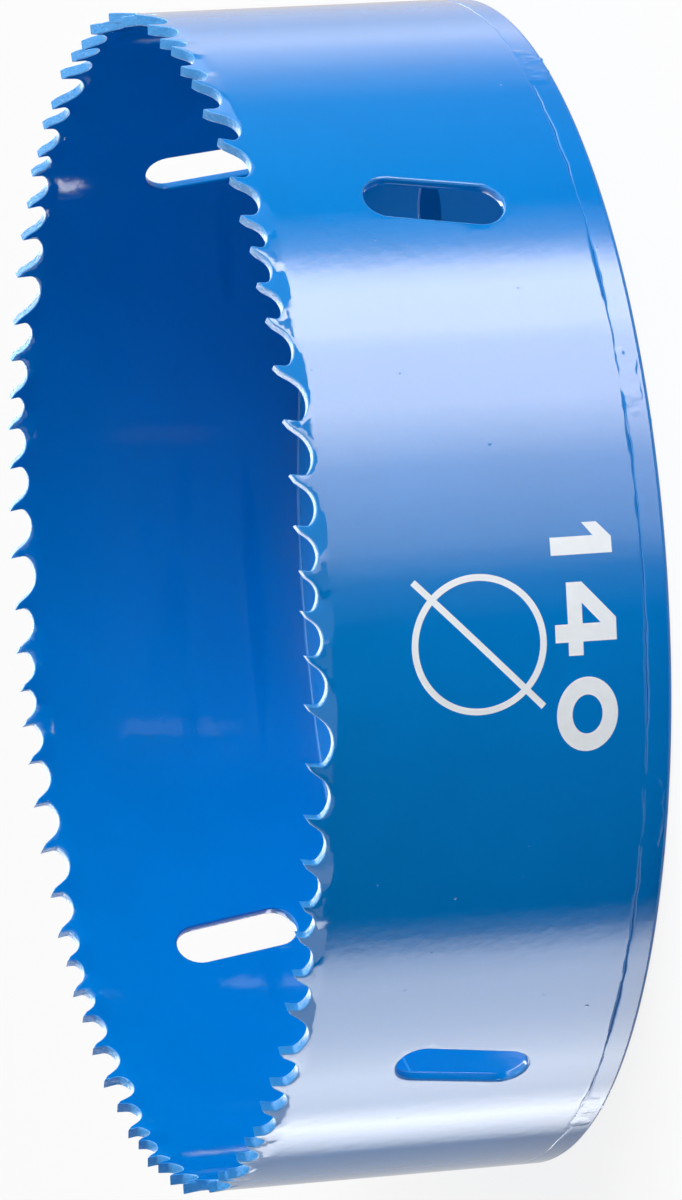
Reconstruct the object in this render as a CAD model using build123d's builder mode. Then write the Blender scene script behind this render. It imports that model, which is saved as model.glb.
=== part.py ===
from build123d import *
from math import cos, degrees, pi, radians, sin, tan
import os

# Bi-metal hole saw, 140 mm: a toothed strip rolled and welded into a ring, on a steel end plate.
# Origin: centre of the end plate's back face. +Z points along the axis towards the teeth.
# All lengths in millimetres, all angles in degrees.

# ---- saw ----
hole_diameter = 140.0       # hole that the saw cuts, measured over the set teeth
tip_height = 42.2           # back face to tooth tips
wall = 1.25                 # strip thickness

# ---- teeth, cutting counter-clockwise as seen from the tooth side ----
pitch_pattern = (4.9, 4.4, 5.0, 5.6, 6.1, 6.6, 5.5)   # one group of the variable pitch, in strip order
set_pattern = (-1, 1, -1, 0, 1, -1, 1)      # lean of the tooth behind each gullet: in, out or none
tooth_set = 0.35            # how far a set tooth leans at its tip
set_share = 0.5             # bent part of a tooth, as a share of the shallowest gullet
rake_angle = 8.0            # hook of the cutting face
relief_angle = 32.0         # slope just behind the tip
relief_length = 1.6         # how far that slope runs along the rim
back_angle = 41.0           # slope of the rest of the tooth's back
gullet_share = 0.235        # gullet radius as a share of the pitch
strip_joint_angle = 162.9   # where the strip's two ends meet, on the first tooth's tip

# ---- chip slots through the wall ----
slot_count = 4
slot_length = 16.0
slot_width = 5.6
slot_height = 19.8          # back face to the slot's centre
slot_skew = 10.0            # the end near the teeth leans the way that the saw turns

# ---- end plate ----
plate_thickness = 4.2
flange_thickness = 3.0      # full-diameter part that the ring stands on
spigot_clearance = 0.05     # radial gap between the spigot and the ring
back_edge_chamfer = 0.5

# ---- holes in the plate ----
thread_minor_diameter = 14.4    # 5/8 inch 18 threads per inch, at the crests
thread_chamfer = 0.5
pin_hole_diameter = 7.0
pin_circle = 28.6
pin_count = 4
knock_out_diameter = 9.5
knock_out_circle = 88.2
knock_out_count = 4
knock_out_angle = 52.0          # to the first of them; the plate is welded on at any turn to the slots

# ---- worked out from the above ----
outer_radius = hole_diameter / 2 - tooth_set
inner_radius = outer_radius - wall
mean_radius = outer_radius - wall / 2
crown_margin = 0.5          # from the round wall's top to the deepest gullet
blank_gap = 0.1             # between two teeth's blanks, over the gullet
cut_margin = 1.0            # how far every cutting shape reaches past what it cuts
cut_start = inner_radius - tooth_set - cut_margin
cut_length = wall + 2 * (tooth_set + cut_margin)


def polar_point(radius, angle):
    """Point in the XY plane at the radius and angle."""
    return (radius * cos(radians(angle)), radius * sin(radians(angle)))


def section_plane(angle):
    """Plane through the saw's axis: local x runs outwards at the angle, local y runs along +Z."""
    outwards = (cos(radians(angle)), sin(radians(angle)), 0)
    normal = (sin(radians(angle)), -cos(radians(angle)), 0)
    return Plane(origin=(0, 0, 0), x_dir=outwards, z_dir=normal)


def wall_plane(angle, height):
    """Plane just inside the wall, facing out: local x runs round the rim, local y along +Z."""
    outwards = Vector(cos(radians(angle)), sin(radians(angle)), 0)
    around = (-sin(radians(angle)), cos(radians(angle)), 0)
    return Plane(origin=outwards * cut_start + Vector(0, 0, height), x_dir=around, z_dir=outwards)


def along_rim(length):
    """Angle that a length takes up along the middle of the wall."""
    return degrees(length / mean_radius)


def gullet_corner(pitch):
    """Where the cutting face and the next tooth's back would meet, measured from the tip."""
    relief_drop = relief_length * tan(radians(relief_angle))
    run = pitch - relief_length + relief_drop / tan(radians(back_angle))
    depth = run / (1 / tan(radians(back_angle)) - tan(radians(rake_angle)))
    return (-depth * tan(radians(rake_angle)), -depth)


def gullet_radius(pitch):
    """Radius of the gullet's round bottom."""
    return gullet_share * pitch


def gullet_depth(pitch):
    """Depth of the gullet's round bottom below the tips."""
    opening = radians(90 - rake_angle - back_angle)
    centre_rise = gullet_radius(pitch) * sin(radians(90 - rake_angle) - opening / 2) / sin(opening / 2)
    return -gullet_corner(pitch)[1] - centre_rise + gullet_radius(pitch)


def strip_pitches(length):
    """Pitches of the teeth that come nearest to filling the length, in strip order."""
    pitches = []
    following = pitch_pattern[0]
    while sum(pitches) + following / 2 < length:
        pitches.append(following)
        following = pitch_pattern[len(pitches) % len(pitch_pattern)]
    return pitches


# ---- the teeth round the rim ----
rim_length = 2 * pi * mean_radius
nominal_pitches = strip_pitches(rim_length)
closure = rim_length / sum(nominal_pitches)      # stretches the pitches so that the ring closes
tip_angles = [
    strip_joint_angle + along_rim(closure * sum(nominal_pitches[:tooth]))
    for tooth in range(len(nominal_pitches))
]
finest_pitch = closure * min(pitch_pattern)
coarsest_pitch = closure * max(pitch_pattern)
corner_angles = [angle + along_rim(gullet_radius(finest_pitch) / 2) for angle in tip_angles]
crown_height = tip_height - gullet_depth(coarsest_pitch) - crown_margin
bend_height = tip_height - set_share * gullet_depth(finest_pitch)
blank_height = tip_height + cut_margin / 2
slot_angles = [360 / slot_count * slot for slot in range(slot_count)]

# ---- toothed ring: the strip with its teeth and chip slots ----
with BuildPart() as toothed_ring:
    # The round wall, up to just below the deepest gullet.
    with BuildSketch(section_plane(corner_angles[0])):
        with Locations((mean_radius, (flange_thickness + crown_height) / 2)):
            Rectangle(wall, crown_height - flange_thickness)
    revolve(axis=Axis.Z)

    # The band that the gullets are cut into: one flat to a tooth, its corners inside the gullets.
    with BuildSketch(Plane.XY.offset(crown_height)):
        for radius, mode in ((outer_radius, Mode.ADD), (inner_radius, Mode.SUBTRACT)):
            with BuildLine():
                Polyline(*[polar_point(radius, angle) for angle in corner_angles], close=True)
            make_face(mode=mode)
    extrude(amount=bend_height - crown_height)

    # The bent end of each tooth, still square and a little too tall.
    for kind, nominal_pitch in enumerate(pitch_pattern):
        pitch = closure * nominal_pitch
        flat_share = cos(radians(along_rim(pitch / 2)))
        flat_inside = flat_share * inner_radius
        flat_outside = flat_share * outer_radius
        lean = set_pattern[kind] * tooth_set * (blank_height - bend_height) / (tip_height - bend_height)
        middles = [angle + along_rim(pitch / 2) for angle in corner_angles[kind::len(pitch_pattern)]]
        with BuildSketch(*[section_plane(middle) for middle in middles]):
            with BuildLine():
                Polyline(
                    (flat_inside, bend_height),
                    (flat_outside, bend_height),
                    (flat_outside + lean, blank_height),
                    (flat_inside + lean, blank_height),
                    close=True,
                )
            make_face()
        extrude(amount=(pitch - blank_gap) / 2, both=True)

    # The gullet ahead of each tip, with the back of the next tooth.
    for kind, nominal_pitch in enumerate(pitch_pattern):
        pitch = closure * nominal_pitch
        tips = tip_angles[kind::len(pitch_pattern)]
        relief_drop = relief_length * tan(radians(relief_angle))
        relief_rise = cut_margin / tan(radians(relief_angle))
        with BuildSketch(*[wall_plane(tip, tip_height) for tip in tips]) as gullet:
            with BuildLine():
                Polyline(
                    (cut_margin * tan(radians(rake_angle)), cut_margin),
                    gullet_corner(pitch),
                    (pitch - relief_length, -relief_drop),
                    (pitch + relief_rise, cut_margin),
                    close=True,
                )
            make_face()
            fillet(gullet.vertices().sort_by(Axis.Y)[0], radius=gullet_radius(pitch))
        extrude(amount=cut_length, mode=Mode.SUBTRACT)

    with BuildSketch(*[wall_plane(angle, slot_height) for angle in slot_angles]):
        SlotOverall(slot_length, slot_width, rotation=90 - slot_skew)
    extrude(amount=cut_length, mode=Mode.SUBTRACT)
toothed_ring.part.label = "toothed_ring"

# ---- end plate: full-diameter flange, and a spigot inside the ring ----
with BuildPart() as end_plate:
    with BuildSketch(Plane.XY):
        Circle(outer_radius)
    extrude(amount=flange_thickness)
    with BuildSketch(Plane.XY.offset(flange_thickness)):
        Circle(inner_radius - spigot_clearance)
    extrude(amount=plate_thickness - flange_thickness)
    chamfer(end_plate.edges().group_by(Axis.Z)[0], length=back_edge_chamfer)

    # Drive-pin holes, and knock-out holes for a rod that pushes the plug out.
    with BuildSketch():
        with PolarLocations(pin_circle / 2, pin_count):
            Circle(pin_hole_diameter / 2)
        with PolarLocations(knock_out_circle / 2, knock_out_count, start_angle=knock_out_angle):
            Circle(knock_out_diameter / 2)
    extrude(amount=plate_thickness, mode=Mode.SUBTRACT)

    # Threaded hole for the arbor.
    with BuildSketch():
        Circle(thread_minor_diameter / 2)
    extrude(amount=plate_thickness, mode=Mode.SUBTRACT)
    chamfer(end_plate.edges(Select.LAST).filter_by(GeomType.CIRCLE), length=thread_chamfer)
end_plate.part.label = "end_plate"

os.makedirs("parts", exist_ok=True)
export_step(toothed_ring.part, "parts/toothed_ring.step")
export_step(end_plate.part, "parts/end_plate.step")
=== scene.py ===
import bisect
from math import atan2, cos, pi, radians, sin, tan

import bmesh
import bpy
from mathutils import Matrix, Vector, noise
from mathutils.geometry import delaunay_2d_cdt
from mathutils.kdtree import KDTree


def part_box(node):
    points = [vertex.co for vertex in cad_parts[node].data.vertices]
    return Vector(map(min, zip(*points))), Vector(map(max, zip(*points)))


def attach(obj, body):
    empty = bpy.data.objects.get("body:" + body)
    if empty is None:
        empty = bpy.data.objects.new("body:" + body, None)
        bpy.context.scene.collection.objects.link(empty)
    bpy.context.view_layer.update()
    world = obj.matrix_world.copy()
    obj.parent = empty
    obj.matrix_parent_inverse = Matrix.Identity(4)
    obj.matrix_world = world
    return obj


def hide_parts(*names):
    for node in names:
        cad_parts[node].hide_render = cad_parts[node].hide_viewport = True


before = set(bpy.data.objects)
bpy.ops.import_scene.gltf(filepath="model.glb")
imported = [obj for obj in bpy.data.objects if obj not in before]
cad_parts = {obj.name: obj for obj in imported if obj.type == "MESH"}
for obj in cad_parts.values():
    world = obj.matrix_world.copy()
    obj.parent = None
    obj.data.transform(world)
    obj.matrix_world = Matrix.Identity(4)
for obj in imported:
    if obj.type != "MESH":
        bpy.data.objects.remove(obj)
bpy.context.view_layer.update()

scene = bpy.context.scene

# ---- camera, in metres ----
CAMERA_PLACE = Vector((-0.54257, -0.68949, 0.26382))
CAMERA_TARGET = Vector((-0.000806, 0.000634, 0.018375))
CAMERA_ROLL = -1.63778
CAMERA_LENS = 229.57
SENSOR_HEIGHT = 36.0

# ---- sizes of the saw, in millimetres; what the CAD boxes give is read from them ----
MM = 0.001
ring_low, ring_high = [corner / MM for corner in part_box("toothed_ring")]
plate_low, plate_high = [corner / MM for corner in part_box("end_plate")]
OUTER_RADIUS = plate_high.x
TIP_HEIGHT = ring_high.z
FLANGE = ring_low.z
PLATE = plate_high.z
WALL = 1.25
INNER_RADIUS = OUTER_RADIUS - WALL
MEAN_RADIUS = OUTER_RADIUS - WALL / 2
SPIGOT_CLEARANCE = 0.05

# ---- teeth ----
PITCH_PATTERN = (4.9, 4.4, 5.0, 5.6, 6.1, 6.6, 5.5)
SET_PATTERN = (-1, 1, -1, 0, 1, -1, 1)
TOOTH_SET = 0.35
BEND_DEPTH = 3.3            # from the tips to the line where a set tooth bends
BEND_CURVE = 0.25
SET_FADE = 14.0             # how sharply the lean starts beside a gullet
BEND_ROWS = (-0.9, -0.25, 0.25, 0.9, 1.6, 2.2, 2.8)     # extra mesh rows, above the bend line
TEETH_BAND = 5.0            # the even mesh of the wall ends this far below the tips
RAKE_ANGLE = 8.0
FOOT_SHARE = 0.13
FLOOR_SHARE = 0.5
FLOOR_ENTRY = -40.0
BACK_ANGLE = 52.0
RELIEF_ANGLE = 33.0
RELIEF_LENGTH = 0.8
FOOT_STEPS = 5
FLOOR_STEPS = 5
STRIP_JOINT_ANGLE = 162.9

# ---- chip slots ----
SLOT_COUNT = 4
SLOT_LENGTH = 16.0
SLOT_WIDTH = 5.6
SLOT_HEIGHT = 19.8
SLOT_SKEW = 10.0
SLOT_END_STEPS = 14

# ---- holes in the plate ----
THREAD_MINOR = 14.4
THREAD_MAJOR = 15.875
THREAD_PITCH = 25.4 / 18
THREAD_CHAMFER = 0.75
PIN_DIAMETER = 7.0
PIN_CIRCLE = 28.6
KNOCK_OUT_DIAMETER = 9.5
KNOCK_OUT_CIRCLE = 88.2
KNOCK_OUT_ANGLE = 52.0
HOLE_STEPS = 48
PLATE_STEPS = 720
BORE_STEPS = 120
BORE_ROWS = 84

# ---- roundings under the lacquer ----
TOOTH_ROUND = 0.12
SLOT_ROUND = 0.3
SEAM_ROUND = 0.18
SEAM_WAVE = 0.16
SEAM_ABOVE = 1.5            # how far the seam's wandering reaches up the wall, and down the flange
SEAM_BELOW = 1.2
SEAM_ROWS = (0.6, 1.0, 1.5)     # extra mesh rows, above the seam
BACK_ROUND = 0.5
HOLE_ROUND = 0.3

# ---- wall surface ----
WALL_STEP = 1.2
RIM_STEPS = 2 * round(2 * pi * MEAN_RADIUS / WALL_STEP)
WALL_CLEARANCE = 0.3
WALL_RIPPLE = 0.02
RIPPLE_LENGTH = 17.0


# ---- camera ----
def add_camera():
    """Camera on the saw's open side, turned so that the saw's axis lies across the picture."""
    forward = (CAMERA_TARGET - CAMERA_PLACE).normalized()
    right = forward.cross(Vector((0, 0, 1))).normalized()
    up = right.cross(forward)
    across = cos(CAMERA_ROLL) * right + sin(CAMERA_ROLL) * up
    along = -sin(CAMERA_ROLL) * right + cos(CAMERA_ROLL) * up
    data = bpy.data.cameras.new("camera")
    data.lens = CAMERA_LENS
    data.sensor_fit = "VERTICAL"
    data.sensor_height = SENSOR_HEIGHT
    camera = bpy.data.objects.new("camera", data)
    turn = Matrix((across, along, -forward)).transposed().to_4x4()
    camera.matrix_world = Matrix.Translation(CAMERA_PLACE) @ turn
    scene.collection.objects.link(camera)
    scene.camera = camera


# ---- making meshes ----
def add_piece(name, bm, material, smooth_angle=45):
    """Object from the bmesh, smooth shaded up to the angle, riding on the saw."""
    bmesh.ops.remove_doubles(bm, verts=bm.verts, dist=0.0002 * MM)
    bmesh.ops.delete(bm, geom=[v for v in bm.verts if not v.link_faces], context="VERTS")
    bmesh.ops.recalc_face_normals(bm, faces=bm.faces)
    mesh = bpy.data.meshes.new(name)
    bm.to_mesh(mesh)
    bm.free()
    mesh.shade_smooth()
    mesh.set_sharp_from_angle(angle=radians(smooth_angle))
    mesh.materials.append(material)
    piece = bpy.data.objects.new(name, mesh)
    scene.collection.objects.link(piece)
    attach(piece, "root")
    return piece


def weigh_normals(piece):
    """Lets the large faces decide the normals, so that only the roundings turn the light."""
    modifier = piece.modifiers.new("weighted_normals", "WEIGHTED_NORMAL")
    modifier.keep_sharp = True
    modifier.weight = 60


def offset_loop(loop, inset, shift):
    """The loop moved to its left, into the metal; shift leads from past its end to its start."""
    moved = []
    for place, point in enumerate(loop):
        before = loop[place - 1] - (shift if place == 0 else shift * 0)
        after = loop[place + 1] if place + 1 < len(loop) else loop[0] + shift
        arriving = (point - before).normalized().orthogonal()
        leaving = (after - point).normalized().orthogonal()
        moved.append(point + inset * (arriving + leaving) / (1 + arriving.dot(leaving)))
    return moved


def round_edge(radius, steps=3):
    """Quarter round as (inset, depth) pairs, from the face round to the side."""
    turns = [pi / 2 * step / steps for step in range(steps + 1)]
    return [(radius * (1 - sin(turn)), radius * (1 - cos(turn))) for turn in turns]


def both_edges(radius, thickness, steps=3):
    """A side with a round at the top and one at the bottom."""
    upper = round_edge(radius, steps)
    return upper + [(inset, thickness - depth) for inset, depth in reversed(upper)]


def is_within(point, loop):
    """Whether the point lies inside a clockwise convex loop."""
    if (point - loop[0]).length > 2 * SLOT_LENGTH:
        return False
    return all((b - a).cross(point - a) < 0 for a, b in zip(loop, loop[1:] + loop[:1]))


def fill_outline(bm, outline, holes, inside, place):
    """Triangles inside the outline and outside the convex holes, through the inside points."""
    points, edges, owners = [], [], []
    for owner, loop in enumerate([outline] + holes):
        first = len(points)
        for step, point in enumerate(loop):
            edges.append((first + step, first + (step + 1) % len(loop)))
        points += loop
        owners += [owner] * len(loop)
    border = KDTree(len(points))
    for number, point in enumerate(points):
        border.insert((point.x, point.y, 0), number)
    border.balance()
    for point in inside:
        clear = border.find((point.x, point.y, 0))[2] > WALL_CLEARANCE
        if clear and not any(is_within(point, hole) for hole in holes):
            points.append(point)
            owners.append(0)
    filled = delaunay_2d_cdt(points, edges, [], 1, 1e-6)
    verts = [bm.verts.new(place(point.x, point.y)) for point in filled[0]]
    owner_of = [owners[sources[0]] if sources else 0 for sources in filled[3]]
    for face in filled[2]:
        first = owner_of[face[0]]
        if first == 0 or any(owner_of[corner] != first for corner in face):
            bm.faces.new([verts[corner] for corner in face])


def join_rings(bm, rings):
    """Quads between closed rings of vertices."""
    faces = []
    for ring, following in zip(rings, rings[1:]):
        for step in range(len(ring)):
            onward = (step + 1) % len(ring)
            corners = (ring[step], ring[onward], following[onward], following[step])
            faces.append(bm.faces.new(corners))
    return faces


def loop_side(bm, loop, shift, profile, place):
    """The side under one loop, following its profile."""
    rings = []
    for inset, depth in profile:
        moved = offset_loop(loop, inset, shift)
        rings.append([bm.verts.new(place(point.x, point.y, depth)) for point in moved])
    return join_rings(bm, rings)


# ---- outline of the toothed strip: along the rim, and up from the back face ----
def polar(radius, angle):
    return Vector((radius * cos(angle), radius * sin(angle)))


def strip_pitches(length):
    """Pitches of the teeth that come nearest to filling the length, in strip order."""
    pitches = []
    following = PITCH_PATTERN[0]
    while sum(pitches) + following / 2 < length:
        pitches.append(following)
        following = PITCH_PATTERN[len(pitches) % len(PITCH_PATTERN)]
    return pitches


def arc(start, radius, begin, end, steps):
    """Points of a left turn from one heading to another, after its start."""
    turns = [begin + (end - begin) * step / steps for step in range(1, steps + 1)]
    return [start + radius * Vector((sin(t) - sin(begin), cos(begin) - cos(t))) for t in turns]


def gullet_outline(pitch):
    """From a tooth's tip, down its face, round the gullet and up the next tooth's back."""
    relief, back, entry = radians(RELIEF_ANGLE), radians(BACK_ANGLE), radians(FLOOR_ENTRY)
    down = radians(-90 - RAKE_ANGLE)
    relief_point = Vector((pitch - RELIEF_LENGTH, -RELIEF_LENGTH * tan(relief)))
    foot, floor = FOOT_SHARE * pitch, FLOOR_SHARE * pitch
    across = arc(Vector((0, 0)), foot, down, entry, 1)[0]
    across = arc(across, floor, entry, back, 1)[0] - relief_point
    face = (across.y - across.x * tan(back)) / (cos(down) * tan(back) - sin(down))
    outline = [Vector((0, 0)), polar(face, down)]
    outline += arc(outline[-1], foot, down, entry, FOOT_STEPS)
    outline += arc(outline[-1], floor, entry, 0, FLOOR_STEPS)
    lowest = len(outline) - 1
    outline += arc(outline[-1], floor, 0, back, FLOOR_STEPS)
    return outline + [relief_point], lowest


RIM = 2 * pi * MEAN_RADIUS
NOMINAL_PITCHES = strip_pitches(RIM)
CLOSURE = RIM / sum(NOMINAL_PITCHES)
PITCHES = [CLOSURE * pitch for pitch in NOMINAL_PITCHES]
TIPS = [sum(PITCHES[:tooth]) for tooth in range(len(PITCHES))]


def toothed_loop():
    """The whole toothed edge, against the rim's direction, starting at a gullet's floor."""
    loop, floors = [], []
    for tip, pitch in zip(TIPS, PITCHES):
        outline, lowest = gullet_outline(pitch)
        placed = [Vector((tip, TIP_HEIGHT)) + point for point in outline]
        floors.append(placed[lowest])
        loop += placed
    start = loop.index(floors[0])
    loop = loop[start:] + [point + Vector((RIM, 0)) for point in loop[:start + 1]]
    loop.reverse()
    return loop[:-1], floors


toothed, floors = toothed_loop()
FLOOR_PLACES = [floor.x for floor in floors]
START = FLOOR_PLACES[0]
TOOTH_ENDS = FLOOR_PLACES + [START + RIM]


def tooth_at(u):
    """The tooth at the place, and how far along it the place is, from 0 to 1."""
    place = START + (u - START) % RIM
    tooth = min(bisect.bisect(FLOOR_PLACES, place), len(FLOOR_PLACES)) - 1
    return tooth, (place - TOOTH_ENDS[tooth]) / (TOOTH_ENDS[tooth + 1] - TOOTH_ENDS[tooth])


def bend_reach(share):
    """From the tips down to the bend line, which sags in the middle of a tooth."""
    return BEND_DEPTH + BEND_CURVE * (4 * share * (1 - share) - 0.5)


def tooth_lean(u, v):
    """How far the tooth at the place leans out at this height."""
    if v < TIP_HEIGHT - BEND_DEPTH - BEND_CURVE:
        return 0
    tooth, share = tooth_at(u)
    bend = max(0, 1 - (TIP_HEIGHT - v) / bend_reach(share))
    fade = min(1, SET_FADE * share * (1 - share))
    return SET_PATTERN[tooth % len(SET_PATTERN)] * TOOTH_SET * bend * fade


def seam_wave(angle):
    """How far the seam wanders up or down, in millimetres."""
    around = Vector((cos(angle), sin(angle), 0)) * OUTER_RADIUS
    return SEAM_WAVE * (noise.noise(around / 3.1) + 0.6 * noise.noise(around / 0.9))


def seam_open(angle):
    """How open the seam is, from 0 where paint and weld fill it to 1."""
    around = Vector((cos(angle), sin(angle), 0.3)) * OUTER_RADIUS
    return min(1, max(0.12, 0.7 + 1.3 * noise.noise(around / 9) + 0.7 * noise.noise(around / 1.7)))


def on_ring(u, v, depth=0):
    """Point of the ring: u along the rim, v up from the back face, depth in from the outside."""
    angle = radians(STRIP_JOINT_ANGLE) + u / MEAN_RADIUS
    around = Vector((OUTER_RADIUS * cos(angle), OUTER_RADIUS * sin(angle), v))
    ripple = WALL_RIPPLE * noise.noise(around / RIPPLE_LENGTH) * min(1, max(0, v - FLANGE - 1))
    low = max(0, 1 - (v - FLANGE) / SEAM_ABOVE)
    if low > 0 and depth < WALL / 2:
        depth *= seam_open(angle)
        v += low * seam_wave(angle)
    radius = OUTER_RADIUS - depth + tooth_lean(u, v) + ripple
    return Vector((radius * cos(angle), radius * sin(angle), v)) * MM


def slot_loop(middle):
    """Outline of one chip slot, clockwise, so that the metal is on its left."""
    half = (SLOT_LENGTH - SLOT_WIDTH) / 2
    along = polar(half, radians(90 - SLOT_SKEW))
    tilt = radians(90 - SLOT_SKEW)
    loop = []
    for centre, begin in ((middle + along, tilt + pi / 2), (middle - along, tilt - pi / 2)):
        for step in range(SLOT_END_STEPS + 1):
            loop.append(centre + polar(SLOT_WIDTH / 2, begin - pi * step / SLOT_END_STEPS))
    return loop


def slot_loops():
    loops = []
    for slot in range(SLOT_COUNT):
        turn = (360 / SLOT_COUNT * slot - STRIP_JOINT_ANGLE) % 360
        loops.append(slot_loop(Vector((radians(turn) * MEAN_RADIUS, SLOT_HEIGHT))))
    return [
        [point + Vector((RIM, 0)) for point in loop] if loop[0].x < START else loop
        for loop in loops
    ]


def grid(left, right, low, high):
    columns = round((right - left) / WALL_STEP)
    rows = round((high - low) / WALL_STEP)
    width, height = (right - left) / columns, (high - low) / rows
    return [
        Vector((left + width * column, low + height * row))
        for column in range(1, columns)
        for row in range(1, rows)
    ]


def seam_rows():
    """Points just above the seam, where the wall dips."""
    places = [START + RIM * step / RIM_STEPS for step in range(1, RIM_STEPS)]
    return [Vector((place, FLANGE + height)) for height in SEAM_ROWS for place in places]


def tooth_rows():
    """Points on the teeth and along their bend lines."""
    rows = []
    for left, right in zip(TOOTH_ENDS, TOOTH_ENDS[1:]):
        for step in range(1, 12):
            share = step / 12
            place = left + (right - left) * share
            for above in BEND_ROWS:
                rows.append(Vector((place, TIP_HEIGHT - bend_reach(share) + above)))
    return rows


def add_ring(material, highlight_edge_material):
    """The rolled strip: toothed edge, chip slots, and every edge rounded by the lacquer."""
    bm = bmesh.new()
    across, still = Vector((RIM, 0)), Vector((0, 0))
    base = [Vector((START + RIM * step / RIM_STEPS, FLANGE)) for step in range(RIM_STEPS)]
    tooth_side = both_edges(TOOTH_ROUND, WALL)
    base_side = both_edges(SEAM_ROUND, WALL)
    slot_side = both_edges(SLOT_ROUND, WALL)
    slots = slot_loops()
    loop_side(bm, base, across, base_side, on_ring)
    # The teeth's cut sides take the second material: rough lacquer in a lighter blue, which is painted
    # highlight.
    for face in loop_side(bm, toothed, -across, tooth_side, on_ring):
        face.material_index = 1
    for slot in slots:
        loop_side(bm, slot, still, slot_side, on_ring)
    inside = grid(START, START + RIM, FLANGE + 2, TIP_HEIGHT - TEETH_BAND)
    inside += seam_rows() + tooth_rows()
    lowest = base[0].y + SEAM_ROUND
    highest = toothed[0].y - TOOTH_ROUND
    rows = round((highest - lowest) / WALL_STEP)
    border = [lowest + (highest - lowest) * row / rows for row in range(1, rows)]
    for depth in (0, WALL):
        lower = offset_loop(base, SEAM_ROUND, across)
        upper = offset_loop(toothed, TOOTH_ROUND, -across)
        outline = lower + [lower[0] + across]
        outline += [Vector((START + RIM, height)) for height in border]
        outline += upper + [upper[0] - across]
        outline += [Vector((START, height)) for height in reversed(border)]
        holes = [offset_loop(slot, SLOT_ROUND, still) for slot in slots]
        fill_outline(bm, outline, holes, inside, lambda u, v: on_ring(u, v, depth))
    ring = add_piece("toothed_ring_lacquered", bm, material)
    ring.data.materials.append(highlight_edge_material)
    weigh_normals(ring)
    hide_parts("toothed_ring")


# ---- end plate ----
def on_plate(x, y, height=0):
    """Point of the plate; its flange meets the ring along the same wandering seam."""
    place = Vector((x, y))
    near = max(0, 1 - abs(height - FLANGE) / SEAM_BELOW)
    if near > 0 and OUTER_RADIUS - place.length < WALL / 2:
        angle = atan2(y, x)
        sunk = OUTER_RADIUS - place.length
        if sunk < SEAM_ROUND + 0.01:
            place *= (OUTER_RADIUS - sunk * seam_open(angle)) / place.length
        height += near * seam_wave(angle)
    return Vector((place.x, place.y, height)) * MM


def circle_loop(radius, steps, centre=Vector((0, 0)), turn=1):
    """Points round a circle: counter-clockwise for a rim, clockwise round a hole."""
    return [centre + polar(radius, turn * 2 * pi * step / steps) for step in range(steps)]


def thread_radius(angle, height):
    """Radius of the threaded bore, chamfered at both ends."""
    phase = (height / THREAD_PITCH - angle / (2 * pi)) % 1
    crest = abs(2 * phase - 1)
    depth = (THREAD_MAJOR - THREAD_MINOR) / 2 * min(1, max(0, 1.3 * crest - 0.15))
    chamfer = THREAD_CHAMFER - min(height, PLATE - height)
    return THREAD_MINOR / 2 + max(depth, chamfer)


def add_plate(material):
    """The end plate: rounded back edge, flange, spigot inside the ring, holes and thread."""
    bm = bmesh.new()
    still = Vector((0, 0))
    step_in = OUTER_RADIUS - INNER_RADIUS + SPIGOT_CLEARANCE
    back = round_edge(BACK_ROUND, 5)
    flange = [(inset, FLANGE - depth) for inset, depth in reversed(round_edge(SEAM_ROUND))]
    spigot = [(step_in + i, PLATE - d) for i, d in reversed(round_edge(SEAM_ROUND))]
    rim_side = back + [(0, FLANGE - SEAM_BELOW), (0, FLANGE - SEAM_BELOW / 2)] + flange
    rim_side += [(WALL / 2 + 0.01, FLANGE), (step_in, FLANGE)] + spigot
    rim = circle_loop(OUTER_RADIUS, PLATE_STEPS)
    loop_side(bm, rim, still, rim_side, on_plate)
    holes = []
    for quarter in range(4):
        turn = pi / 2 * quarter
        pin = polar(PIN_CIRCLE / 2, turn)
        knock_out = polar(KNOCK_OUT_CIRCLE / 2, turn + radians(KNOCK_OUT_ANGLE))
        holes.append(circle_loop(PIN_DIAMETER / 2, HOLE_STEPS, pin, -1))
        holes.append(circle_loop(KNOCK_OUT_DIAMETER / 2, HOLE_STEPS, knock_out, -1))
    for hole in holes:
        loop_side(bm, hole, still, both_edges(HOLE_ROUND, PLATE), on_plate)
    bore_rings = []
    for row in range(BORE_ROWS + 1):
        height = PLATE * row / BORE_ROWS
        turns = [-2 * pi * step / BORE_STEPS for step in range(BORE_STEPS)]
        places = [polar(thread_radius(turn, height), turn) for turn in turns]
        bore_rings.append([bm.verts.new(on_plate(p.x, p.y, height)) for p in places])
    join_rings(bm, bore_rings)
    mouth = circle_loop(THREAD_MINOR / 2 + THREAD_CHAMFER, BORE_STEPS, turn=-1)
    inside = grid(-OUTER_RADIUS, OUTER_RADIUS, -OUTER_RADIUS, OUTER_RADIUS)
    for height, inset in ((0, BACK_ROUND), (PLATE, step_in + SEAM_ROUND)):
        outline = offset_loop(rim, inset, still)
        within = [p for p in inside if p.length < OUTER_RADIUS - inset - WALL_CLEARANCE]
        insets = [offset_loop(hole, HOLE_ROUND, still) for hole in holes]
        fill_outline(bm, outline, [mouth] + insets, within, lambda x, y: on_plate(x, y, height))
    plate = add_piece("end_plate_lacquered", bm, material, 38)
    weigh_normals(plate)
    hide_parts("end_plate")


# ---- welds ----
WELD_COUNT = 9
WELD_FIRST = -111.0
WELD_ARC = 9.0
WELD_HALF_WIDTH = 1.5
WELD_DROP = 1.1
WELD_PROUD = 0.05
WELD_BURIED = 0.05
WELD_STEPS = 80
WELD_ROWS = 20
FILLET = 0.5


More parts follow.
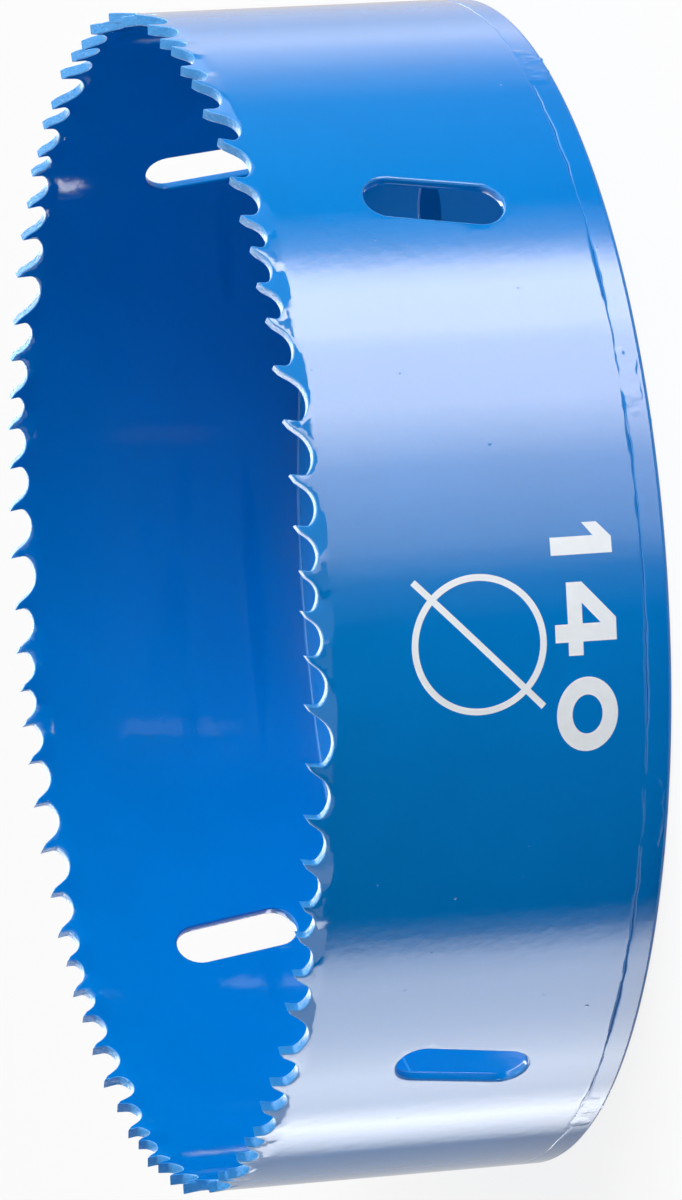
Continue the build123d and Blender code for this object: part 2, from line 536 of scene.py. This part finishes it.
def weld_place(middle, share, across):
    """Angle and height on the wall: share runs along the weld, across it from -1 to 1."""
    angle = radians(middle + WELD_ARC * (share - 0.5))
    place = Vector((cos(angle), sin(angle), across * 0.02)) * OUTER_RADIUS
    half = WELD_HALF_WIDTH * (1 + 0.3 * noise.noise(place / 1.5))
    height = FLANGE - WELD_DROP + 0.3 * noise.noise(place / 3 + Vector((9, 0, 0)))
    return angle, height + across * half


def weld_point(angle, height, lift):
    """Point at that angle and height, lifted out of the wall."""
    return Vector((cos(angle), sin(angle), 0)) * (OUTER_RADIUS + lift) * MM + Vector((0, 0, height * MM))


def weld_lift(share, across, angle, height):
    """How far the spatter stands out of the wall."""
    place = Vector((cos(angle) * OUTER_RADIUS, sin(angle) * OUTER_RADIUS, height))
    crown = (1 - across ** 4) * (1 - (2 * share - 1) ** 6)
    lumps = 0.7 + 0.5 * noise.noise(place / 1.9) + 0.16 * noise.noise(place / 0.6)
    return (WELD_PROUD + WELD_BURIED) * crown * max(0.1, lumps) - WELD_BURIED


def add_seam_weld(material):
    """Lumpy stretches of weld that bridge the seam between the ring and the plate."""
    bm = bmesh.new()
    for number in range(WELD_COUNT):
        middle = WELD_FIRST + 360 / WELD_COUNT * number
        sheets = []
        for lid in (True, False):
            sheet = []
            for step in range(WELD_STEPS + 1):
                share = step / WELD_STEPS
                row = []
                for line in range(WELD_ROWS + 1):
                    across = 2 * line / WELD_ROWS - 1
                    angle, height = weld_place(middle, share, across)
                    lift = weld_lift(share, across, angle, height) if lid else -2 * WELD_BURIED
                    row.append(bm.verts.new(weld_point(angle, height, lift)))
                sheet.append(row)
            for row, following in zip(sheet, sheet[1:]):
                for line in range(WELD_ROWS):
                    bm.faces.new((row[line], row[line + 1], following[line + 1], following[line]))
            sheets.append(sheet)
        rims = []
        for sheet in sheets:
            rim = sheet[0] + [row[-1] for row in sheet[1:-1]]
            rim += sheet[-1][::-1] + [row[0] for row in sheet[-2:0:-1]]
            rims.append(rim)
        join_rings(bm, rims)
    add_piece("seam_weld", bm, material, 60)


def add_corner_fillet(material):
    """Weld and paint that fill the corner between the plate and the wall, inside the ring."""
    bm = bmesh.new()
    steps, bends = 480, 6
    rings = []
    section = [(WELD_BURIED, -WELD_BURIED)]
    for bend in range(bends + 1):
        turn = pi / 2 * bend / bends
        section.append((WELD_BURIED - FILLET * (1 - sin(turn)), FILLET * (1 - cos(turn)) - WELD_BURIED))
    for out, up in section:
        ring = []
        for step in range(steps):
            angle = 2 * pi * step / steps
            around = Vector((cos(angle), sin(angle), 0)) * INNER_RADIUS
            size = 1 + 0.35 * noise.noise(around / 6)
            spot = polar(INNER_RADIUS + (out - WELD_BURIED) * size + WELD_BURIED, angle)
            height = PLATE + (up + WELD_BURIED) * size - WELD_BURIED
            ring.append(bm.verts.new(Vector((spot.x, spot.y, height)) * MM))
        rings.append(ring)
    join_rings(bm, rings + rings[:1])
    add_piece("corner_fillet", bm, material)


# ---- plain size mark, in the place of the print ----
PRINT_PROUD = 0.02
PRINT_SUNK = 0.02
PRINT_STEP = 0.6
NUMERALS_FOOT = 13.5
SIGN_RADIUS = 7.4
SIGN_STROKE = 0.75
SIGN_BAR = 20.6
SIGN_HEIGHT = 22.3
MARK_ANGLE = -133.9
MARK_MIDDLE = radians((MARK_ANGLE - STRIP_JOINT_ANGLE) % 360) * MEAN_RADIUS


def divided(corners):
    """The closed outline with points no further apart than the print's step."""
    points = []
    for start, end in zip(corners, corners[1:] + corners[:1]):
        start, end = Vector(start), Vector(end)
        steps = max(1, round((end - start).length / PRINT_STEP))
        points += [start.lerp(end, step / steps) for step in range(steps)]
    return points


def ellipse(wide, high, centre, turn, steps=44):
    """Closed oval, counter-clockwise for an outline and clockwise for a hole."""
    turns = [turn * 2 * pi * step / steps for step in range(steps)]
    return [Vector((centre[0] + wide * cos(t), centre[1] + high * sin(t))) for t in turns]


def add_print(bm, outline, holes, proud, place):
    """One printed shape: its face, its back just inside the paint, and its edges."""
    still = Vector((0, 0))
    reach = max(point.length for point in outline) + 1
    inside = grid(-reach, reach, -reach, reach)
    for depth in (-proud, PRINT_SUNK):
        fill_outline(bm, outline, holes, inside, lambda x, y: place(x, y, depth))
    for loop in [outline] + holes:
        loop_side(bm, loop, still, [(0, -proud), (0, PRINT_SUNK)], place)


def add_numerals(bm):
    """The diameter in plain block numerals, reading from the top of the mark to its foot."""
    def place(x, y, depth):
        return on_ring(MARK_MIDDLE - x, NUMERALS_FOOT - y, depth)

    one = [(-11.2, 0), (-9.2, 0), (-9.2, 7.1), (-11, 7.1), (-12.7, 5.5), (-12.7, 3.8), (-11.2, 5)]
    four = [(-1.6, 0), (0.4, 0), (0.4, 1.5), (1.9, 1.5), (1.9, 3.2), (0.4, 3.2), (0.4, 7.1)]
    four += [(-2.1, 7.1), (-6.2, 3.3), (-6.2, 1.5), (-1.6, 1.5)]
    eye = [(-1.6, 3.2), (-3.9, 3.2), (-1.6, 5.3)]
    add_print(bm, divided(one), [], PRINT_PROUD, place)
    add_print(bm, divided(four), [divided(eye)], PRINT_PROUD, place)
    centre = (8.5, 3.55)
    outer, inner = ellipse(4.2, 3.55, centre, 1), ellipse(2.2, 1.75, centre, -1)
    add_print(bm, outer, [inner], PRINT_PROUD, place)


def add_diameter_sign(bm):
    """Plain circle with a bar across it, above the numerals' feet."""
    def place(x, y, depth):
        return on_ring(MARK_MIDDLE - x, SIGN_HEIGHT - y, depth)

    outer, inner = SIGN_RADIUS + SIGN_STROKE / 2, SIGN_RADIUS - SIGN_STROKE / 2
    add_print(bm, circle_loop(outer, 84), [circle_loop(inner, 84, turn=-1)], PRINT_PROUD, place)
    along, aside = polar(1, pi / 4), polar(SIGN_STROKE / 2, 3 * pi / 4)
    cuts = (-SIGN_BAR / 2, -SIGN_RADIUS, SIGN_RADIUS, SIGN_BAR / 2)
    for near, far in zip(cuts, cuts[1:]):
        bar = [along * near - aside, along * far - aside, along * far + aside, along * near + aside]
        add_print(bm, divided(bar), [], PRINT_PROUD * 0.7, place)


def add_size_mark(material):
    """White print on the wall: the diameter sign and the size."""
    bm = bmesh.new()
    add_numerals(bm)
    add_diameter_sign(bm)
    add_piece("size_mark", bm, material, 30)


# ---- materials ----
LACQUER_BLUE = (0.0, 0.19, 0.57)
# The cut edges' blue is lighter than the lacquer's: a painted highlight for the glint along the teeth's
# edges; their roughness and burr bump are the paint's own.
EDGE_HIGHLIGHT_BLUE = (0.03, 0.26, 0.62)
PRINT_WHITE = (0.9, 0.94, 0.97)


def new_material(name):
    material = bpy.data.materials.new(name)
    material.use_nodes = True
    tree = material.node_tree
    return material, tree.nodes, tree.links, tree.nodes["Principled BSDF"]


def add_noise(nodes, links, scale, detail=3.0):
    """Noise over the saw's own coordinates; scale is in features per metre."""
    place = nodes.new("ShaderNodeTexCoord")
    texture = nodes.new("ShaderNodeTexNoise")
    texture.inputs["Scale"].default_value = scale
    texture.inputs["Detail"].default_value = detail
    links.new(place.outputs["Object"], texture.inputs["Vector"])
    return texture


def add_bump(nodes, links, height, strength, distance, normal):
    """Bump of that height, in metres, on top of the given normal."""
    bump = nodes.new("ShaderNodeBump")
    bump.inputs["Strength"].default_value = strength
    bump.inputs["Distance"].default_value = distance
    links.new(height, bump.inputs["Height"])
    if normal:
        links.new(normal, bump.inputs["Normal"])
    return bump.outputs["Normal"]


def add_nibs(nodes, links, scale, reach):
    """Sparse round specks of dust under the paint."""
    place = nodes.new("ShaderNodeTexCoord")
    cells = nodes.new("ShaderNodeTexVoronoi")
    cells.inputs["Scale"].default_value = scale
    fall = nodes.new("ShaderNodeMapRange")
    fall.interpolation_type = "SMOOTHSTEP"
    fall.inputs["From Max"].default_value = reach
    fall.inputs["To Min"].default_value = 1
    fall.inputs["To Max"].default_value = 0
    links.new(place.outputs["Object"], cells.inputs["Vector"])
    links.new(cells.outputs["Distance"], fall.inputs["Value"])
    return fall.outputs["Result"]


def lacquer(name, base, cut=False):
    """Glossy blue paint: soft mottling, orange peel and nibs of dust; rough over a cut edge."""
    material, nodes, links, shader = new_material(name)
    shader.inputs["IOR"].default_value = 1.5
    mottling = add_noise(nodes, links, 90)
    tint = nodes.new("ShaderNodeMixRGB")
    tint.inputs["Color1"].default_value = (*[0.93 * part for part in base], 1)
    tint.inputs["Color2"].default_value = (*[1.07 * part for part in base], 1)
    links.new(mottling.outputs["Fac"], tint.inputs["Fac"])
    links.new(tint.outputs["Color"], shader.inputs["Base Color"])
    haze = add_noise(nodes, links, 260)
    gloss = nodes.new("ShaderNodeMapRange")
    gloss.inputs["To Min"].default_value = 0.2 if cut else 0.04
    gloss.inputs["To Max"].default_value = 0.4 if cut else 0.08
    links.new(haze.outputs["Fac"], gloss.inputs["Value"])
    links.new(gloss.outputs["Result"], shader.inputs["Roughness"])
    streaks = add_noise(nodes, links, 420, 2)
    drawn_out = nodes.new("ShaderNodeMapping")
    drawn_out.inputs["Scale"].default_value = (1, 1, 0.12)
    links.new(streaks.inputs["Vector"].links[0].from_socket, drawn_out.inputs["Vector"])
    links.new(drawn_out.outputs["Vector"], streaks.inputs["Vector"])
    peel = add_noise(nodes, links, 700, 3)
    normal = add_bump(nodes, links, streaks.outputs["Fac"], 0.3, 0.000012, None)
    normal = add_bump(nodes, links, peel.outputs["Fac"], 0.6, 0.00002, normal)
    normal = add_bump(nodes, links, add_nibs(nodes, links, 120, 0.03), 0.8, 0.00006, normal)
    normal = add_bump(nodes, links, add_nibs(nodes, links, 310, 0.045), 0.6, 0.00003, normal)
    if cut:
        burr = add_noise(nodes, links, 2600, 3)
        normal = add_bump(nodes, links, burr.outputs["Fac"], 0.8, 0.0002, normal)
    links.new(normal, shader.inputs["Normal"])
    return material


def ink(name, base):
    """White printing ink, a little uneven."""
    material, nodes, links, shader = new_material(name)
    shader.inputs["Roughness"].default_value = 0.6
    mottling = add_noise(nodes, links, 900)
    tint = nodes.new("ShaderNodeMixRGB")
    tint.inputs["Color1"].default_value = (*[0.9 * part for part in base], 1)
    tint.inputs["Color2"].default_value = (*base, 1)
    links.new(mottling.outputs["Fac"], tint.inputs["Fac"])
    links.new(tint.outputs["Color"], shader.inputs["Base Color"])
    normal = add_bump(nodes, links, mottling.outputs["Fac"], 0.3, 0.00001, None)
    links.new(normal, shader.inputs["Normal"])
    return material


# ---- studio ----
CAMERA_AZIMUTH = -128.2
WALL_DISTANCE = 1.5
GLOW = 16.0
NEUTRAL, WARM = (1.0, 1.0, 1.0), (1.0, 0.88, 0.74)
# (degrees round from the camera's side, brightness) of the soft boxes and black flags
LOW_BANDS = (
    (-180, 0.6), (-138, 0.8), (-130, 4.2), (-124, 7.2), (-116, 5.4), (-106, 7.9), (-92, 7.0),
    (-80, 7.0), (-75, 5.8), (-69, 1.0), (-65, 0.0), (-7, 0.0), (1, 0.5), (8, 3.0), (15, 4.1),
    (22, 5.3), (28, 8.7), (34, 12.0), (46, 12.7), (49, 15.4), (58, 15.2), (61.5, 12.2), (64, 7.0),
    (67, 2.6), (70, 1.4), (76, 0.1), (107, 0.3), (117, 1.0), (124, 1.7), (133, 2.4), (143, 1.3), (179, 0.6),
)
UNDER_BANDS = ((-180, 1.0), (-90, 1.0), (-20, 0.5), (120, 0.5), (180, 1.0))
MIDDLE_BANDS = ((-180, 1.0), (-90, 2.0), (-40, 1.0), (0, 0.5), (75, 0.5), (110, 2.0), (180, 1.0))
HIGH_BANDS = (
    (-180, 7.0), (-118, 7.0), (-100, 0.5), (-45, 0.5), (0, 2.0), (60, 2.5), (110, 6.0), (180, 7.0),
)
STUDIO_WALLS = (
    ("studio_wall_under", -1.8, -0.62, UNDER_BANDS, NEUTRAL),
    ("studio_wall_low", -0.62, -0.22, LOW_BANDS, WARM),
    ("studio_wall_middle", -0.22, 0.2, MIDDLE_BANDS, NEUTRAL),
    ("studio_wall_high", 0.2, 1.0, HIGH_BANDS, NEUTRAL),
)


def stage_for_reflections(name, mesh):
    """Stage object that only glossy reflections see."""
    stage = bpy.data.objects.new(name, mesh)
    scene.collection.objects.link(stage)
    stage.visible_camera = False
    stage.visible_diffuse = False
    stage.visible_shadow = False
    stage.visible_transmission = False


def studio_wall(name, low, high, bands, tint):
    """Round wall of soft boxes and black flags; the tint is for angles above 0."""
    bm = bmesh.new()
    rings = []
    for height in (low, high):
        places = circle_loop(WALL_DISTANCE, 96)
        rings.append([bm.verts.new((p.x, p.y, height)) for p in places])
    join_rings(bm, rings)
    mesh = bpy.data.meshes.new(name)
    bm.to_mesh(mesh)
    bm.free()
    material = bpy.data.materials.new(name)
    material.use_nodes = True
    nodes, links = material.node_tree.nodes, material.node_tree.links
    nodes.remove(nodes["Principled BSDF"])
    place = nodes.new("ShaderNodeTexCoord")
    round_about = nodes.new("ShaderNodeTexGradient")
    round_about.gradient_type = "RADIAL"
    ramp = nodes.new("ShaderNodeValToRGB")
    glow = nodes.new("ShaderNodeEmission")
    glow.inputs["Strength"].default_value = GLOW
    stops = []
    for angle, level in bands:
        position = ((angle + CAMERA_AZIMUTH) / 360 + 0.5) % 1
        shade = tint if angle > 0 else NEUTRAL
        stops.append((position, [level / GLOW * part for part in shade]))
    stops.sort()
    while len(ramp.color_ramp.elements) < len(stops):
        ramp.color_ramp.elements.new(0.5)
    for element, (position, colour) in zip(ramp.color_ramp.elements, stops):
        element.position = position
        element.color = (*colour, 1)
    links.new(place.outputs["Object"], round_about.inputs["Vector"])
    links.new(round_about.outputs["Color"], ramp.inputs["Fac"])
    links.new(ramp.outputs["Color"], glow.inputs["Color"])
    links.new(glow.outputs["Emission"], nodes["Material Output"].inputs["Surface"])
    mesh.materials.append(material)
    stage_for_reflections(name, mesh)


def seen_directly(nodes, links):
    """1 for camera, glossy and transmission rays."""
    path = nodes.new("ShaderNodeLightPath")
    first = nodes.new("ShaderNodeMath")
    first.operation = "MAXIMUM"
    second = nodes.new("ShaderNodeMath")
    second.operation = "MAXIMUM"
    links.new(path.outputs["Is Camera Ray"], first.inputs[0])
    links.new(path.outputs["Is Glossy Ray"], first.inputs[1])
    links.new(first.outputs[0], second.inputs[0])
    links.new(path.outputs["Is Transmission Ray"], second.inputs[1])
    return second.outputs[0]


FLOOR_REACH = 6.0
# Radius of the dark disc of painted shade under the plate.
PAINTED_SHADE_RADIUS = 60.0
FLOOR_WHITE_SHARE = 0.85
FLOOR_COLOUR = 0.75
WORLD_LEVEL = 0.4
LAMP_DISTANCE = 1.6
LAMP_SIZE = 0.9


def add_floor():
    mesh = bpy.data.meshes.new("floor")
    reach = FLOOR_REACH
    corners = [(-reach, -reach, 0), (reach, -reach, 0), (reach, reach, 0), (-reach, reach, 0)]
    mesh.from_pydata(corners, [], [(0, 1, 2, 3)])
    material, nodes, links, shader = new_material("floor")
    shader.inputs["Base Color"].default_value = (FLOOR_COLOUR, FLOOR_COLOUR, FLOOR_COLOUR, 1)
    shader.inputs["Roughness"].default_value = 0.9
    shader.inputs["Specular IOR Level"].default_value = 0.0
    white = nodes.new("ShaderNodeEmission")
    share = nodes.new("ShaderNodeMath")
    share.operation = "MULTIPLY"
    share.inputs[1].default_value = FLOOR_WHITE_SHARE
    mix = nodes.new("ShaderNodeMixShader")
    links.new(seen_directly(nodes, links), share.inputs[0])
    links.new(share.outputs[0], mix.inputs["Fac"])
    links.new(shader.outputs["BSDF"], mix.inputs[1])
    links.new(white.outputs["Emission"], mix.inputs[2])
    links.new(mix.outputs["Shader"], nodes["Material Output"].inputs["Surface"])
    mesh.materials.append(material)
    floor = bpy.data.objects.new("floor", mesh)
    scene.collection.objects.link(floor)
    floor.visible_glossy = False


def add_painted_shade_disc():
    """Painted shade: a dark disc just under the plate, standing in for the shade beneath the saw, which
    shows only in reflections through the holes.
    """
    mesh = bpy.data.meshes.new("shade_under_plate")
    bm = bmesh.new()
    rim = circle_loop(PAINTED_SHADE_RADIUS, HOLE_STEPS)
    bm.faces.new([bm.verts.new((p.x * MM, p.y * MM, -MM)) for p in rim])
    bm.to_mesh(mesh)
    bm.free()
    material, nodes, links, shader = new_material("shade_under_plate")
    shader.inputs["Base Color"].default_value = (0.05, 0.05, 0.05, 1)
    shader.inputs["Specular IOR Level"].default_value = 0.0
    mesh.materials.append(material)
    stage_for_reflections("shade_under_plate", mesh)


def add_world():
    world = bpy.data.worlds.new("world")
    scene.world = world
    world.use_nodes = True
    nodes, links = world.node_tree.nodes, world.node_tree.links
    ambient = nodes["Background"]
    ambient.inputs["Color"].default_value = (1, 1, 1, 1)
    ambient.inputs["Strength"].default_value = WORLD_LEVEL
    white = nodes.new("ShaderNodeBackground")
    white.inputs["Color"].default_value = (1, 1, 1, 1)
    mix = nodes.new("ShaderNodeMixShader")
    links.new(seen_directly(nodes, links), mix.inputs["Fac"])
    links.new(ambient.outputs["Background"], mix.inputs[1])
    links.new(white.outputs["Background"], mix.inputs[2])
    links.new(mix.outputs["Shader"], nodes["World Output"].inputs["Surface"])


def add_lamp(name, azimuth, elevation, power, glossy):
    """Square soft lamp aimed at the saw; azimuth and elevation in degrees."""
    data = bpy.data.lights.new(name, "AREA")
    data.size = LAMP_SIZE
    data.energy = power
    lamp = bpy.data.objects.new(name, data)
    flat = polar(cos(radians(elevation)), radians(azimuth))
    toward = Vector((flat.x, flat.y, sin(radians(elevation))))
    lamp.location = toward * LAMP_DISTANCE
    lamp.rotation_euler = toward.to_track_quat("Z", "Y").to_euler()
    lamp.visible_glossy = glossy
    scene.collection.objects.link(lamp)


add_camera()
add_world()
add_floor()
# Dark disc of painted shade under the plate, seen only in reflections through its holes.
add_painted_shade_disc()
for wall in STUDIO_WALLS:
    studio_wall(*wall)
add_lamp("key", -62, 38, power=25, glossy=False)
add_lamp("overhead", -60, 75, power=5, glossy=True)

ring_lacquer = lacquer("ring_lacquer", LACQUER_BLUE)
add_ring(ring_lacquer, lacquer("lacquer_on_cut_edges_and_highlight", EDGE_HIGHLIGHT_BLUE, cut=True))
add_plate(ring_lacquer)
add_seam_weld(ring_lacquer)
add_corner_fillet(ring_lacquer)
add_size_mark(ink("print_ink", PRINT_WHITE))

scene.view_settings.view_transform = "Standard"
